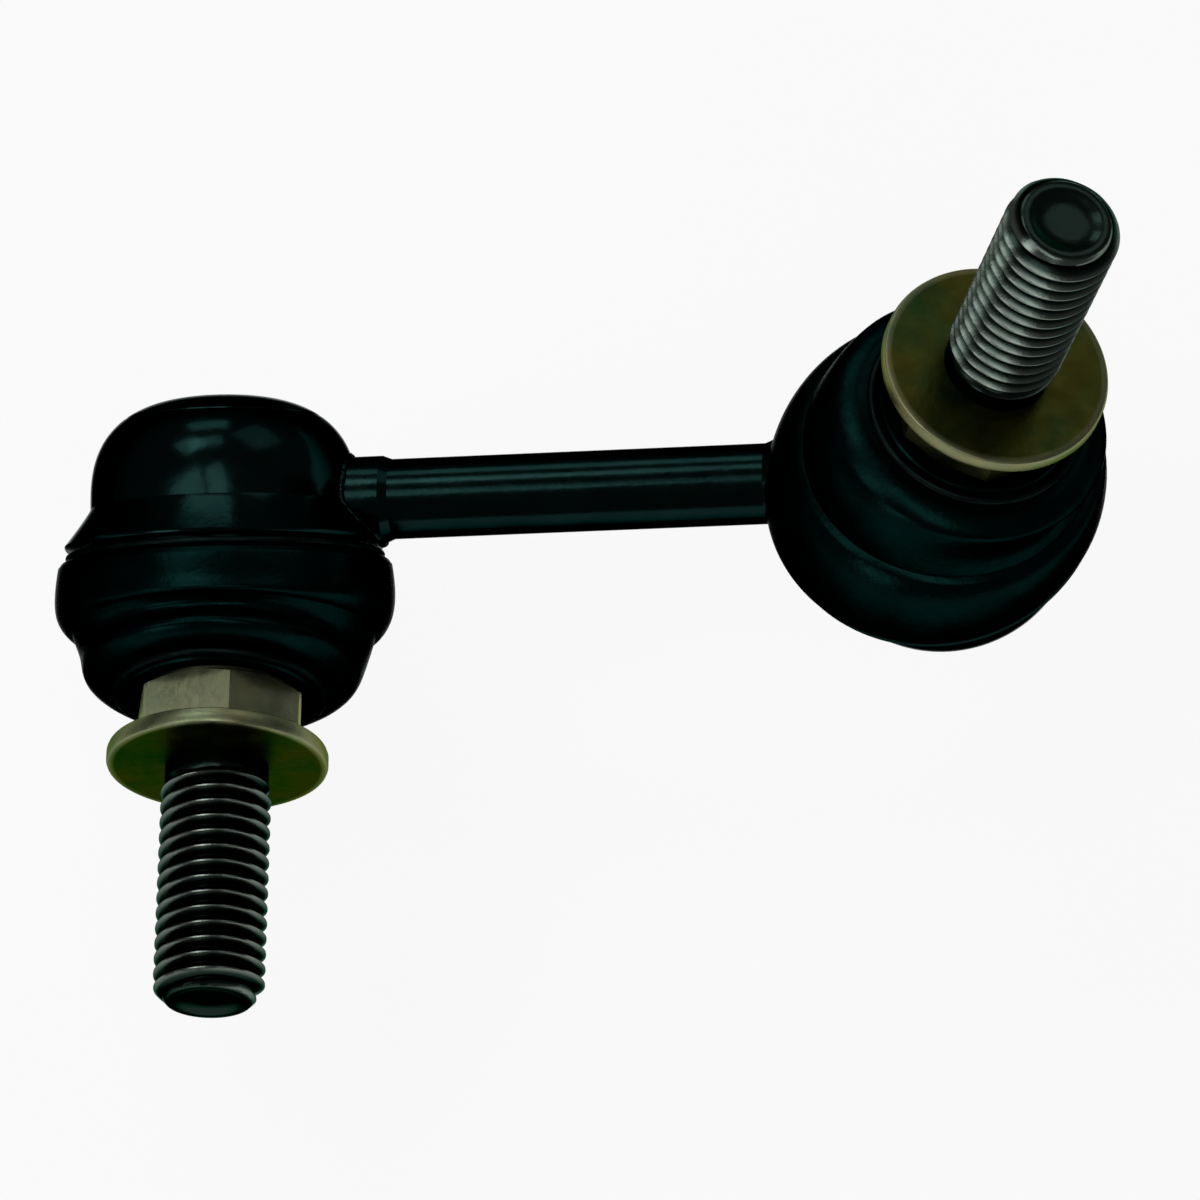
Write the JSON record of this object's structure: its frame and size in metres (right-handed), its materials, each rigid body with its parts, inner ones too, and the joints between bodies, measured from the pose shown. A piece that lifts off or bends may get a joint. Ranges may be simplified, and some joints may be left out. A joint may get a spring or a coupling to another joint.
{
  "type": "stabilizer link",
  "caption": "Short vehicle stabilizer link: a round bar with a rubber-booted ball joint and a threaded, flanged hex stud at each end, one housing turned 108 degrees from the other.",
  "frame": {"origin": "centre of the left stud's seat face, where the flange meets the threaded shank", "axes": "+X along the bar from the left joint to the right one, +Z along the right housing towards its stud, -Y the side to which the left stud points"},
  "size_m": [0.1207, 0.072, 0.0758],
  "materials": {
    "black_paint": "gloss",
    "zinc_steel": "yellow zinc plating",
    "boot_rubber": "satin",
    "seat_plastic": "matte",
    "ring_steel": "dark oxide"
  },
  "bodies": {
    "link": {"link_bar": "black_paint", "left_housing": "black_paint", "left_end_cover": "black_paint", "left_thrust_cup": "seat_plastic", "left_ball_seat": "seat_plastic", "right_housing": "black_paint", "right_end_cover": "black_paint", "right_thrust_cup": "seat_plastic", "right_ball_seat": "seat_plastic"},
    "left_boot": {"left_dust_boot": "boot_rubber", "left_boot_clip_ring": "ring_steel"},
    "left_boot_neck": {"left_boot_neck_ring": "ring_steel"},
    "left_stud": {"left_ball_stud": "zinc_steel"},
    "right_boot": {"right_dust_boot": "boot_rubber", "right_boot_clip_ring": "ring_steel"},
    "right_boot_neck": {"right_boot_neck_ring": "ring_steel"},
    "right_stud": {"right_ball_stud": "zinc_steel"}
  },
  "joints": [
    {"name": "left_stud_swing", "type": "hinge", "parent": "link", "child": "left_boot", "pos_m": [-0.0006, 0.02573, -0.00065], "axis": [0, -0.9511, -0.309], "continuous": true},
    {"name": "left_stud_tilt", "type": "hinge", "parent": "left_boot", "child": "left_boot_neck", "pos_m": [-0.0006, 0.02573, -0.00065], "axis": [-0.9976, -0.0216, 0.0663], "range_deg": [-45.5, 6.5], "deforming": ["left_dust_boot"]},
    {"name": "left_stud_spin", "type": "hinge", "parent": "left_boot_neck", "child": "left_stud", "pos_m": [-0.0006, 0.02573, -0.00065], "axis": [0.0233, -0.9994, 0.0254], "continuous": true},
    {"name": "right_stud_swing", "type": "hinge", "parent": "link", "child": "right_boot", "pos_m": [0.0784, 0.02638, 0.00615], "axis": [0, 0, 1], "continuous": true},
    {"name": "right_stud_tilt", "type": "hinge", "parent": "right_boot", "child": "right_boot_neck", "pos_m": [0.0784, 0.02638, 0.00615], "axis": [-0.3256, 0.9455, 0], "range_deg": [-47.5, 4.5], "deforming": ["right_dust_boot"]},
    {"name": "right_stud_spin", "type": "hinge", "parent": "right_boot_neck", "child": "right_stud", "pos_m": [0.0784, 0.02638, 0.00615], "axis": [0.3465, 0.1193, 0.9304], "continuous": true}
  ]
}
